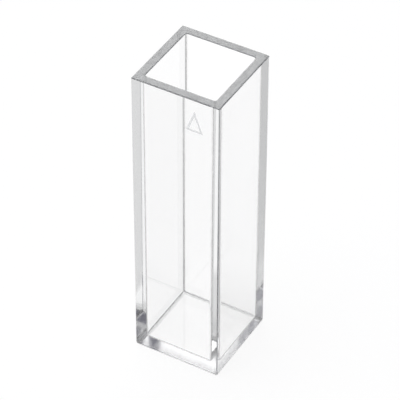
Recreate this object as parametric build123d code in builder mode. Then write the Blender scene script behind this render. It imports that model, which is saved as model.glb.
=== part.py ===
"""Square glass cuvette for a light beam: a fused one-piece cell, open at the rim and closed at the base.

The frame stands on the middle of the foot, with +Z up to the rim and X along the light path.
"""

import os

from build123d import *

# Driving dimensions, in millimetres.
light_path = 10.0  # inside, from window to window along X
well_width = 10.0  # inside, from side wall to side wall along Y
window_wall = 1.25  # glass of the two windows across X
side_wall = 1.25  # glass of the two walls across Y
base_wall = 1.6  # glass under the well
cell_height = 45.0  # foot to rim

# Edges, in millimetres: bevelled up the sides and at the rim, rounded at the foot and inside.
upright_bevel = 0.12  # the four upright outer edges
foot_radius = 0.5  # outer edge of the foot
rim_outer_bevel = 0.12  # outer edge of the rim
rim_inner_bevel = 0.1  # mouth of the well
corner_radius = 0.3  # upright inner corners
floor_radius = 0.4  # where the walls meet the floor of the well

# Sizes that follow.
outer_length = light_path + 2 * window_wall
outer_width = well_width + 2 * side_wall
well_depth = cell_height - base_wall

os.makedirs("parts", exist_ok=True)

# Cell body: a block with softened edges and a rounded well sunk into it from the rim.
with BuildPart() as cell_body:
    with BuildSketch(Plane.XY):
        Rectangle(outer_length, outer_width)
    extrude(amount=cell_height)
    fillet(cell_body.faces().sort_by(Axis.Z)[0].edges(), radius=foot_radius)
    # The bevel of each upright edge runs on round the corner of the foot.
    chamfer(cell_body.edges().filter_by(Axis.Z), length=upright_bevel)
    chamfer(cell_body.faces().sort_by(Axis.Z)[-1].edges(), length=rim_outer_bevel)

    with BuildSketch(Plane.XY.offset(cell_height)):
        RectangleRounded(light_path, well_width, corner_radius)
    extrude(amount=-well_depth, mode=Mode.SUBTRACT)
    level_faces = cell_body.faces().filter_by(Axis.Z).sort_by(Axis.Z)
    foot_face, floor_face, rim_face = level_faces
    fillet(floor_face.edges(), radius=floor_radius)
    chamfer(rim_face.inner_wires()[0].edges(), length=rim_inner_bevel)

cell_body.part.label = "cell_body"
export_step(cell_body.part, "parts/cell_body.step")
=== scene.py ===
"""A clear square glass cuvette on a white studio floor."""

import math

import bmesh
import bpy
from mathutils import Matrix, Vector


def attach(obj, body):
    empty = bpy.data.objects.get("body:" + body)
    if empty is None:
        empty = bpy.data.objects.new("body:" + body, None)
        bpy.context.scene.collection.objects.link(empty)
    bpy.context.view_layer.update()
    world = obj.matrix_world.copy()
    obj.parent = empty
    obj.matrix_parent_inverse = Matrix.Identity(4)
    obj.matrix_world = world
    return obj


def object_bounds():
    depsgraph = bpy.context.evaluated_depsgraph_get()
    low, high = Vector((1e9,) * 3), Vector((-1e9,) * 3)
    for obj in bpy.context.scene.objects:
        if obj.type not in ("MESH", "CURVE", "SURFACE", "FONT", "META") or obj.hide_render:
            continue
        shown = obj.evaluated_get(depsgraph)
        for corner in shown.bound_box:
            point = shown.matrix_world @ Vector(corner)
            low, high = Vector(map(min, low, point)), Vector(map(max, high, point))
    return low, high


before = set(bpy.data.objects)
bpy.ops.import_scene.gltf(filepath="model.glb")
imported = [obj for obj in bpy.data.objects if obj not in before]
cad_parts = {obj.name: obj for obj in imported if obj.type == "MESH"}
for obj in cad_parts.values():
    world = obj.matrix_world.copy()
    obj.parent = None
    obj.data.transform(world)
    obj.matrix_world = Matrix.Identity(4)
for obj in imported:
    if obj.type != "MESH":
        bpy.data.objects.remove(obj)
cad_low, cad_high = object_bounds()

MM = 0.001
CELL_HEIGHT = cad_high.z
OUTER_HALF = cad_high.x
FRONT_FACE = cad_low.y

# Camera, fitted to the edges of the object in the 400 x 400 photograph.
CAMERA_AZIMUTH = math.radians(29.98)
CAMERA_ELEVATION = math.radians(40.55)
CAMERA_ROLL = math.radians(0.195)
CAMERA_DISTANCE = 313.57 * MM
CAMERA_LENS_MM = 219.575
CAMERA_SENSOR_MM = 36.0
CAMERA_NEAR = 10.0 * MM
CAMERA_FAR = 20.0
AIM_RIGHT = -0.029 * MM
AIM_UP = 0.71 * MM
BEHIND = (-math.sin(CAMERA_AZIMUTH), math.cos(CAMERA_AZIMUTH), 0.0)

# Glass. The bevels and the radii are those of the solid.
GLASS_IOR = 1.5
GLASS_TINT = (0.50, 0.515, 0.53, 1.0)
GLASS_DENSITY = 16.0
FACE_BAND = 0.01 * MM
WALL_ROUGHNESS = 0.0
RIM_ROUGHNESS = 0.22
FOOT_ROUGHNESS = 0.22
FOOT_EDGE_ROUGHNESS = 0.35
FOOT_RADIUS = 0.5 * MM
UPRIGHT_BEVEL = 0.12 * MM
RIM_OUTER_BEVEL = 0.12 * MM
RIM_STREAK_WIDTH = 0.5 * MM
RIM_STREAK_LENGTH = 1.2 * MM
RIM_STREAK_HEIGHT = 0.025 * MM
RIM_STREAK_DETAIL = 0.0
GLASS_BOUNCES = 96

# Painted shade: a grey haze just under the rounded glass, along the inner corners and inside the edge of the
# foot, standing in for the dark lines that the glass shows there.
WELL_HALF = 5.0 * MM
WELL_FLOOR = 1.6 * MM
CORNER_RADIUS = 0.3 * MM
FLOOR_RADIUS = 0.4 * MM
RIM_INNER_BEVEL = 0.1 * MM
STRIP_INSET = 0.012 * MM
STRIP_THICKNESS = 0.01 * MM
STRIP_STEPS = 6
# The haze's grey colour is painted shade, not a colour of the glass.
SHADE_HAZE_COLOUR = (0.3, 0.3, 0.3, 1.0)
SHADE_HAZE_ROUGHNESS = 0.6
SHADE_HAZE_GRAIN = 900.0
SHADE_HAZE_GRAIN_DETAIL = 2.0
# Cover of the painted shade lines at the inner corners.
CORNER_SHADE_THIN = 0.02
CORNER_SHADE_THICK = 0.05
# Cover of the painted shade inside the edge of the foot.
FOOT_EDGE_SHADE_THIN = 0.08
FOOT_EDGE_SHADE_THICK = 0.18
GRAIN_LOW = 0.35
GRAIN_HIGH = 0.65

# Etched orientation mark on the front wall, a plain triangle.
MARK_ACROSS = 2.75 * MM
MARK_BELOW_RIM = 3.3 * MM
MARK_WIDTH = 2.4 * MM
MARK_HEIGHT = 3.2 * MM
MARK_STROKE = 0.3 * MM
MARK_DEPTH = 0.003 * MM
MARK_COLOUR = (0.78, 0.79, 0.8, 1.0)
MARK_ROUGHNESS = 0.8
MARK_GRAIN = 12000.0
MARK_GRAIN_DETAIL = 3.0
MARK_THIN = 0.25
MARK_THICK = 0.5

# Floor, in strengths where 1 is white. Its edges are cosines of the angle from straight behind FAN_PLACE.
FLOOR_SIZE = 3.0
FLOOR_GAP = 0.02 * MM
FLOOR_SEEN = 0.92
FLOOR_WHITE = 0.99
FLOOR_PAINT = 0.1
# Seen after a bounce in the glass, the floor has painted shade: white behind, greyer beside, in front and
# under the object.
FLOOR_BEHIND = 1.0
FLOOR_SIDE_SHADE = 0.73
FLOOR_FRONT_SHADE = 0.5
FLOOR_UNDER_SHADE = 0.81
FAN_BACK = 8.0 * MM
FAN_PLACE = tuple(FAN_BACK * part for part in BEHIND)
FRONT_EDGE = -0.6
SIDE_EDGE = 0.1
BEHIND_EDGE = 0.67
BEHIND_FULL = 0.82
UNDER_INNER = 6.0 * MM
UNDER_OUTER = 10.0 * MM

# Sky and lamp. Horizon and top are heights on the unit sphere, back is a cosine from straight behind.
SKY_SEEN = 1.0
SKY_HORIZON = 1.0
SKY_BACK = 1.7
SKY_SIDE = 0.16
SKY_TOP = 0.15
SKY_SHADE = (0.75, 0.74, 1.0, 1.0)
HORIZON_LOW = 0.2
HORIZON_HIGH = 0.45
TOP_LOW = 0.8
TOP_HIGH = 0.95
BACK_EDGE = 0.75
BACK_FULL = 0.97
LAMP_PLACE = (-0.3, -0.2, 1.0)
LAMP_SIZE = 0.8
LAMP_POWER = 6.0


def new_material(name):
    """An empty node material, its tree and its output node."""
    material = bpy.data.materials.new(name)
    material.use_nodes = True
    tree = material.node_tree
    tree.nodes.clear()
    return material, tree, tree.nodes.new("ShaderNodeOutputMaterial")


def feed(tree, socket, value):
    """Links a node output to a socket, or sets the socket to a plain value."""
    if isinstance(value, bpy.types.NodeSocket):
        tree.links.new(value, socket)
    else:
        socket.default_value = value


def math_node(tree, operation, first, second=0.0):
    """The result of an operation on two plain values."""
    node = tree.nodes.new("ShaderNodeMath")
    node.operation = operation
    feed(tree, node.inputs[0], first)
    feed(tree, node.inputs[1], second)
    return node.outputs["Value"]


def vector_node(tree, operation, first, second=None, output="Vector"):
    """The result of a vector operation, as a vector or as a plain value."""
    node = tree.nodes.new("ShaderNodeVectorMath")
    node.operation = operation
    feed(tree, node.inputs[0], first)
    if second is not None:
        feed(tree, node.inputs[1], second)
    return node.outputs[output]


def smooth_range(tree, value, low, high, start, end):
    """Start up to low, end from high on, and a smooth step between them."""
    node = tree.nodes.new("ShaderNodeMapRange")
    node.interpolation_type = "SMOOTHSTEP"
    feed(tree, node.inputs["Value"], value)
    feed(tree, node.inputs["From Min"], low)
    feed(tree, node.inputs["From Max"], high)
    feed(tree, node.inputs["To Min"], start)
    feed(tree, node.inputs["To Max"], end)
    return node.outputs["Result"]


def mix_values(tree, share, first, second):
    """First at a share of 0, second at a share of 1."""
    node = tree.nodes.new("ShaderNodeMix")
    node.data_type = "FLOAT"
    feed(tree, node.inputs["Factor"], share)
    feed(tree, node.inputs["A"], first)
    feed(tree, node.inputs["B"], second)
    return node.outputs["Result"]


def split_vector(tree, vector):
    """The three parts of a vector."""
    node = tree.nodes.new("ShaderNodeSeparateXYZ")
    feed(tree, node.inputs["Vector"], vector)
    return node.outputs["X"], node.outputs["Y"], node.outputs["Z"]


def bounced_inside(tree):
    """1 for light that was reflected on its way to the eye, as inside a wall of the glass, and else 0."""
    path = tree.nodes.new("ShaderNodeLightPath")
    return math_node(tree, "GREATER_THAN", path.outputs["Glossy Depth"])


def clear_glass():
    """Polished walls, a ground foot with a duller edge, and a ground rim with streaks along it."""
    material, tree, output = new_material("clear_glass_looks")
    glass = tree.nodes.new("ShaderNodeBsdfPrincipled")
    glass.inputs["Base Color"].default_value = (1.0, 1.0, 1.0, 1.0)
    glass.inputs["Transmission Weight"].default_value = 1.0
    glass.inputs["IOR"].default_value = GLASS_IOR
    geometry = tree.nodes.new("ShaderNodeNewGeometry")

    place = vector_node(tree, "ABSOLUTE", geometry.outputs["Position"])
    place_x, place_y, place_z = split_vector(tree, place)
    on_rim = math_node(tree, "GREATER_THAN", place_z, CELL_HEIGHT - FACE_BAND)
    by_rim = math_node(tree, "GREATER_THAN", place_z, CELL_HEIGHT - RIM_OUTER_BEVEL - FACE_BAND)
    on_foot = math_node(tree, "LESS_THAN", place_z, FACE_BAND)
    by_foot = math_node(tree, "LESS_THAN", place_z, FOOT_RADIUS - FACE_BAND)
    roughness = mix_values(tree, by_rim, WALL_ROUGHNESS, RIM_ROUGHNESS)
    roughness = mix_values(tree, by_foot, roughness, FOOT_EDGE_ROUGHNESS)
    roughness = mix_values(tree, on_foot, roughness, FOOT_ROUGHNESS)
    tree.links.new(roughness, glass.inputs["Roughness"])

    ring = math_node(tree, "MAXIMUM", place_x, place_y)
    along = math_node(tree, "MINIMUM", place_x, place_y)
    streak_place = tree.nodes.new("ShaderNodeCombineXYZ")
    tree.links.new(math_node(tree, "DIVIDE", ring, RIM_STREAK_WIDTH), streak_place.inputs["X"])
    tree.links.new(math_node(tree, "DIVIDE", along, RIM_STREAK_LENGTH), streak_place.inputs["Y"])
    streaks = tree.nodes.new("ShaderNodeTexNoise")
    streaks.inputs["Scale"].default_value = 1.0
    streaks.inputs["Detail"].default_value = RIM_STREAK_DETAIL
    tree.links.new(streak_place.outputs["Vector"], streaks.inputs["Vector"])
    bump = tree.nodes.new("ShaderNodeBump")
    bump.inputs["Distance"].default_value = RIM_STREAK_HEIGHT
    tree.links.new(on_rim, bump.inputs["Strength"])
    tree.links.new(streaks.outputs["Fac"], bump.inputs["Height"])
    tree.links.new(bump.outputs["Normal"], glass.inputs["Normal"])
    tree.links.new(glass.outputs["BSDF"], output.inputs["Surface"])

    depth = tree.nodes.new("ShaderNodeVolumeAbsorption")
    depth.inputs["Color"].default_value = GLASS_TINT
    depth.inputs["Density"].default_value = GLASS_DENSITY
    tree.links.new(depth.outputs["Volume"], output.inputs["Volume"])
    return material


def grainy_haze(name, colour, roughness, scale, detail, thin, thick):
    """A dull haze that lets most of the glass show through, its cover uneven between thin and thick."""
    material, tree, output = new_material(name)
    haze = tree.nodes.new("ShaderNodeBsdfPrincipled")
    haze.inputs["Base Color"].default_value = colour
    haze.inputs["Roughness"].default_value = roughness
    geometry = tree.nodes.new("ShaderNodeNewGeometry")
    grain = tree.nodes.new("ShaderNodeTexNoise")
    grain.inputs["Scale"].default_value = scale
    grain.inputs["Detail"].default_value = detail
    tree.links.new(geometry.outputs["Position"], grain.inputs["Vector"])
    cover = smooth_range(tree, grain.outputs["Fac"], GRAIN_LOW, GRAIN_HIGH, thin, thick)
    tree.links.new(cover, haze.inputs["Alpha"])
    tree.links.new(haze.outputs["BSDF"], output.inputs["Surface"])
    return material


def shade_haze(name, thin, thick):
    """A grey haze of painted shade, its cover uneven."""
    finish = (SHADE_HAZE_COLOUR, SHADE_HAZE_ROUGHNESS, SHADE_HAZE_GRAIN, SHADE_HAZE_GRAIN_DETAIL)
    return grainy_haze(name, *finish, thin, thick)


def etched_haze():
    """The white haze of etched glass."""
    finish = (MARK_COLOUR, MARK_ROUGHNESS, MARK_GRAIN, MARK_GRAIN_DETAIL)
    return grainy_haze("etched_glass_looks", *finish, MARK_THIN, MARK_THICK)


def add_strip(points, faces, place, ends):
    """Adds a thin closed quarter shell; place gives the point for a turn, a depth and a position along it."""
    start = len(points)
    for along in ends:
        for depth in (STRIP_INSET, STRIP_INSET + STRIP_THICKNESS):
            for step in range(STRIP_STEPS + 1):
                points.append(place(math.pi / 2 * step / STRIP_STEPS, depth, along))
    row = STRIP_STEPS + 1
    for step in range(STRIP_STEPS):
        near, far = start + step, start + step + 1
        faces.append((near, far, far + 2 * row, near + 2 * row))
        faces.append((near + row, near + 3 * row, far + 3 * row, far + row))
        faces.append((near, near + row, far + row, far))
        faces.append((near + 2 * row, far + 2 * row, far + 3 * row, near + 3 * row))
    for side in (start, start + STRIP_STEPS):
        faces.append((side, side + 2 * row, side + 3 * row, side + row))


def haze_piece(name, points, faces, looks):
    """One piece of thin closed shells, with all faces turned outward."""
    mesh = bpy.data.meshes.new(name)
    mesh.from_pydata(points, [], faces)
    shell = bmesh.new()
    shell.from_mesh(mesh)
    bmesh.ops.recalc_face_normals(shell, faces=shell.faces)
    shell.to_mesh(mesh)
    shell.free()
    mesh.materials.append(looks)
    piece = bpy.data.objects.new(name, mesh)
    bpy.context.scene.collection.objects.link(piece)
    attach(piece, "root")
    return piece


def corner_shade_lines():
    """Painted shade lines: grey quarter shells along the four upright inner corners and the four edges of the
    well's floor.
    """
    points = []
    faces = []
    corner = WELL_HALF - CORNER_RADIUS
    edge = WELL_HALF - FLOOR_RADIUS
    rise = WELL_FLOOR + FLOOR_RADIUS

    for side_x in (-1, 1):
        for side_y in (-1, 1):
            def upright(turn, depth, along):
                reach = CORNER_RADIUS + depth
                x = side_x * (corner + reach * math.cos(turn))
                y = side_y * (corner + reach * math.sin(turn))
                return Vector((x, y, along))
            add_strip(points, faces, upright, (rise, CELL_HEIGHT - RIM_INNER_BEVEL - STRIP_INSET))
    for side in (-1, 1):
        def along_x(turn, depth, along):
            reach = FLOOR_RADIUS + depth
            return Vector((along, side * (edge + reach * math.cos(turn)), rise - reach * math.sin(turn)))

        def along_y(turn, depth, along):
            reach = FLOOR_RADIUS + depth
            return Vector((side * (edge + reach * math.cos(turn)), along, rise - reach * math.sin(turn)))
        add_strip(points, faces, along_x, (-edge, edge))
        add_strip(points, faces, along_y, (-edge, edge))
    return haze_piece("corner_shade_lines", points, faces, shade_haze("corner_shade_looks", CORNER_SHADE_THIN, CORNER_SHADE_THICK))


def ground_foot_edge_shade():
    """Grey quarter shells inside the rounded edge of the ground foot, mitred at its corners: painted shade
    over an edge whose real ground finish is the glass's roughness.
    """
    points = []
    faces = []
    edge = OUTER_HALF - FOOT_RADIUS
    for side in (-1, 1):
        def along_x(turn, depth, end):
            reach = FOOT_RADIUS - depth
            out = edge + reach * math.cos(turn)
            return Vector((end * (out - UPRIGHT_BEVEL), side * out, FOOT_RADIUS - reach * math.sin(turn)))

        def along_y(turn, depth, end):
            reach = FOOT_RADIUS - depth
            out = edge + reach * math.cos(turn)
            return Vector((side * out, end * (out - UPRIGHT_BEVEL), FOOT_RADIUS - reach * math.sin(turn)))
        add_strip(points, faces, along_x, (-1, 1))
        add_strip(points, faces, along_y, (-1, 1))
    looks = shade_haze("ground_edge_shade_looks", FOOT_EDGE_SHADE_THIN, FOOT_EDGE_SHADE_THICK)
    return haze_piece("ground_foot_edge_shade", points, faces, looks)


def etched_mark():
    """A triangle outline just in front of the front face, point up, as a thin closed plate."""
    middle = Vector((MARK_ACROSS, FRONT_FACE, CELL_HEIGHT - MARK_BELOW_RIM))
    half_width = MARK_WIDTH / 2
    half_height = MARK_HEIGHT / 2
    outer = [(-half_width, -half_height), (half_width, -half_height), (0.0, half_height)]
    sides = [math.dist(outer[k], outer[(k + 1) % 3]) for k in range(3)]
    around = sum(sides)
    # The middle of the inscribed circle weighs each corner by the side that faces it.
    centre = [sum(sides[(k + 1) % 3] * outer[k][axis] for k in range(3)) / around for axis in range(2)]
    inner_radius = MARK_WIDTH * MARK_HEIGHT / around
    shrink = 1 - MARK_STROKE / inner_radius
    inner = [tuple(c + shrink * (v - c) for v, c in zip(corner, centre)) for corner in outer]
    points = []
    for lift in (MARK_DEPTH, 2 * MARK_DEPTH):
        for across, up in outer + inner:
            points.append(middle + Vector((across, -lift, up)))
    faces = []
    for k in range(3):
        n = (k + 1) % 3
        faces.append((k, k + 3, n + 3, n))
        faces.append((k + 6, n + 6, n + 9, k + 9))
        faces.append((k, n, n + 6, k + 6))
        faces.append((k + 3, k + 9, n + 9, n + 3))
    return haze_piece("etched_mark", points, faces, etched_haze())


def studio_floor():
    """White to the eye and through the glass; after a bounce in it, painted shade makes it greyer below,
    beside and in front.
    """
    mesh = bpy.data.meshes.new("floor")
    half = FLOOR_SIZE / 2
    corners = [(-half, -half, 0), (half, -half, 0), (half, half, 0), (-half, half, 0)]
    mesh.from_pydata(corners, [], [(0, 1, 2, 3)])
    floor = bpy.data.objects.new("floor", mesh)
    bpy.context.scene.collection.objects.link(floor)
    floor.location.z = -FLOOR_GAP
    material, tree, output = new_material("white_floor")
    paint = tree.nodes.new("ShaderNodeBsdfDiffuse")
    paint.inputs["Color"].default_value = (FLOOR_PAINT, FLOOR_PAINT, FLOOR_PAINT, 1.0)
    geometry = tree.nodes.new("ShaderNodeNewGeometry")
    reach = vector_node(tree, "LENGTH", geometry.outputs["Position"], output="Value")
    fan = vector_node(tree, "SUBTRACT", geometry.outputs["Position"], FAN_PLACE)
    fan = vector_node(tree, "NORMALIZE", fan)
    turned = vector_node(tree, "DOT_PRODUCT", fan, BEHIND, output="Value")
    # Painted shade on the floor for bounced light: greyer in front and beside, white behind, greyer under the
    # object.
    shaded = smooth_range(tree, turned, FRONT_EDGE, SIDE_EDGE, FLOOR_FRONT_SHADE, FLOOR_SIDE_SHADE)
    shaded = smooth_range(tree, turned, BEHIND_EDGE, BEHIND_FULL, shaded, FLOOR_BEHIND)
    shaded = smooth_range(tree, reach, UNDER_INNER, UNDER_OUTER, FLOOR_UNDER_SHADE, shaded)
    path = tree.nodes.new("ShaderNodeLightPath")
    plain = mix_values(tree, path.outputs["Is Camera Ray"], FLOOR_WHITE, FLOOR_SEEN)
    glow = tree.nodes.new("ShaderNodeEmission")
    tree.links.new(mix_values(tree, bounced_inside(tree), plain, shaded), glow.inputs["Strength"])
    both = tree.nodes.new("ShaderNodeAddShader")
    tree.links.new(paint.outputs["BSDF"], both.inputs[0])
    tree.links.new(glow.outputs["Emission"], both.inputs[1])
    tree.links.new(both.outputs["Shader"], output.inputs["Surface"])
    mesh.materials.append(material)
    return floor


def studio_world():
    """White to the eye; in the glass, a white horizon, a bright screen behind and a dim room above."""
    world = bpy.data.worlds.new("studio")
    bpy.context.scene.world = world
    world.use_nodes = True
    tree = world.node_tree
    tree.nodes.clear()
    output = tree.nodes.new("ShaderNodeOutputWorld")
    background = tree.nodes.new("ShaderNodeBackground")
    coords = tree.nodes.new("ShaderNodeTexCoord")
    direction = coords.outputs["Generated"]
    height = split_vector(tree, direction)[2]
    level = vector_node(tree, "NORMALIZE", vector_node(tree, "MULTIPLY", direction, (1.0, 1.0, 0.0)))
    turned = vector_node(tree, "DOT_PRODUCT", level, BEHIND, output="Value")
    room = smooth_range(tree, turned, BACK_EDGE, BACK_FULL, SKY_SIDE, SKY_BACK)
    room = smooth_range(tree, height, HORIZON_LOW, HORIZON_HIGH, SKY_HORIZON, room)
    room = smooth_range(tree, height, TOP_LOW, TOP_HIGH, room, SKY_TOP)
    path = tree.nodes.new("ShaderNodeLightPath")
    shown = mix_values(tree, path.outputs["Is Camera Ray"], room, SKY_SEEN)
    tree.links.new(shown, background.inputs["Strength"])
    shade = tree.nodes.new("ShaderNodeValToRGB")
    shade.color_ramp.elements[0].color = SKY_SHADE
    tree.links.new(shown, shade.inputs["Fac"])
    tree.links.new(shade.outputs["Color"], background.inputs["Color"])
    tree.links.new(background.outputs["Background"], output.inputs["Surface"])


def soft_lamp(name, place, size, power):
    """A square soft light that faces the object."""
    data = bpy.data.lights.new(name, "AREA")
    data.shape = "SQUARE"
    data.size = size
    data.energy = power
    lamp = bpy.data.objects.new(name, data)
    bpy.context.scene.collection.objects.link(lamp)
    lamp.location = place
    lamp.rotation_mode = "QUATERNION"
    lamp.rotation_quaternion = (-Vector(place)).to_track_quat("-Z", "Y")
    return lamp


def photo_camera():
    """The camera at the photograph's place, aimed near the middle of the object."""
    back = Vector((
        math.sin(CAMERA_AZIMUTH) * math.cos(CAMERA_ELEVATION),
        -math.cos(CAMERA_AZIMUTH) * math.cos(CAMERA_ELEVATION),
        math.sin(CAMERA_ELEVATION),
    ))
    level = Vector((math.cos(CAMERA_AZIMUTH), math.sin(CAMERA_AZIMUTH), 0))
    upright = back.cross(level)
    right = math.cos(CAMERA_ROLL) * level + math.sin(CAMERA_ROLL) * upright
    up = back.cross(right)
    middle = (cad_low + cad_high) / 2
    data = bpy.data.cameras.new("photo_camera")
    data.lens = CAMERA_LENS_MM
    data.sensor_width = CAMERA_SENSOR_MM
    data.clip_start = CAMERA_NEAR
    data.clip_end = CAMERA_FAR
    camera = bpy.data.objects.new("photo_camera", data)
    bpy.context.scene.collection.objects.link(camera)
    camera.rotation_mode = "QUATERNION"
    camera.location = middle + right * AIM_RIGHT + up * AIM_UP + back * CAMERA_DISTANCE
    camera.rotation_quaternion = Matrix((right, up, back)).transposed().to_quaternion()
    bpy.context.scene.camera = camera
    return camera


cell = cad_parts["cell_body"]
cell.data.materials.clear()
cell.data.materials.append(clear_glass())
corner_shade_lines()
ground_foot_edge_shade()
etched_mark()
studio_floor()
studio_world()
soft_lamp("overhead", LAMP_PLACE, LAMP_SIZE, LAMP_POWER)
photo_camera()

scene = bpy.context.scene
scene.view_settings.view_transform = "Standard"
scene.cycles.max_bounces = GLASS_BOUNCES
scene.cycles.transmission_bounces = GLASS_BOUNCES
scene.cycles.glossy_bounces = GLASS_BOUNCES
